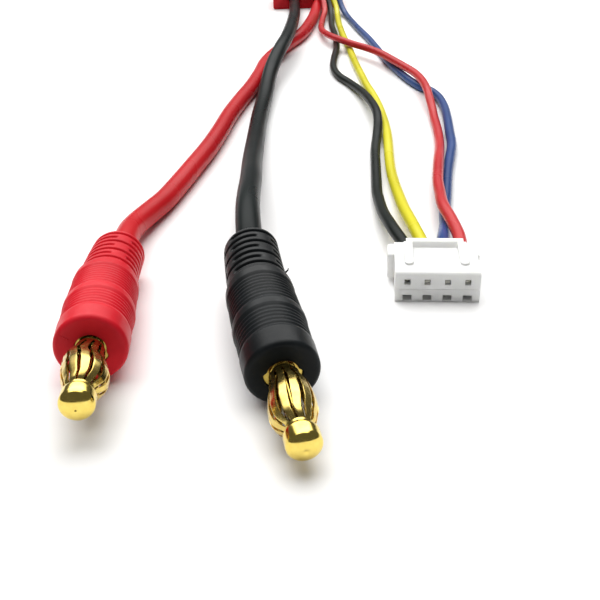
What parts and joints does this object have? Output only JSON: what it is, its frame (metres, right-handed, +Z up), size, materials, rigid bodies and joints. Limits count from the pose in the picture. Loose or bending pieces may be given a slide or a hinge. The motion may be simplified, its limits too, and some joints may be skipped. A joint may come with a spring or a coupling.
{
  "type": "balance charging lead",
  "caption": "Charging lead for a drone battery: thick power wires with lantern-spring banana plugs in ribbed boots, and a multi-way balance plug on thin coloured wires.",
  "frame": {"origin": "middle of the footprint of the plugs and connector, at the surface the lead lies on", "axes": "+Z up, +Y along the lead from the charger plugs towards the battery connector, +X across it, to the right when seen from the plugs"},
  "size_m": [0.061, 0.2659, 0.0095],
  "materials": {
    "red_pvc": "satin soft moulded",
    "black_pvc": "satin soft moulded",
    "gold_plate": "bright gold plated",
    "solder": "bright tin solder",
    "copper": "bare stranded copper",
    "tin_plate": "tin plated",
    "white_nylon": "satin",
    "red_plastic": "satin",
    "black_silicone": "satin silicone",
    "red_silicone": "satin silicone",
    "yellow_silicone": "satin silicone",
    "blue_silicone": "satin silicone"
  },
  "bodies": {
    "lead": {"balance_contact_black": "tin_plate", "balance_contact_blue": "tin_plate", "balance_contact_red": "tin_plate", "balance_contact_yellow": "tin_plate", "balance_housing": "white_nylon", "battery_balance_contact_black": "gold_plate", "battery_balance_contact_blue": "gold_plate", "battery_balance_contact_red": "gold_plate", "battery_balance_contact_yellow": "gold_plate", "battery_connector_cover": "red_plastic", "battery_connector_shell": "red_plastic", "battery_power_contact_black": "gold_plate", "battery_power_contact_red": "gold_plate", "black_balance_wire": "black_silicone", "black_boot": "black_pvc", "black_main_wire": "black_silicone", "black_plug_body": "gold_plate", "black_solder": "solder", "black_wire_strands": "copper", "blue_balance_wire": "blue_silicone", "red_balance_wire": "red_silicone", "red_boot": "red_pvc", "red_main_wire": "red_silicone", "red_plug_body": "gold_plate", "red_solder": "solder", "red_wire_strands": "copper", "yellow_balance_wire": "yellow_silicone"},
    "black_cage": {"black_contact_cage": "gold_plate"},
    "red_cage": {"red_contact_cage": "gold_plate"}
  },
  "joints": [
    {"name": "black_cage_turn", "type": "hinge", "parent": "lead", "child": "black_cage", "pos_m": [-0.00035, -0.12188, 0.00405], "axis": [0.1799, -0.9804, -0.0802], "continuous": true},
    {"name": "red_cage_turn", "type": "hinge", "parent": "lead", "child": "red_cage", "pos_m": [-0.02097, -0.11665, 0.0046], "axis": [0.0847, -0.9957, 0.0384], "continuous": true}
  ]
}
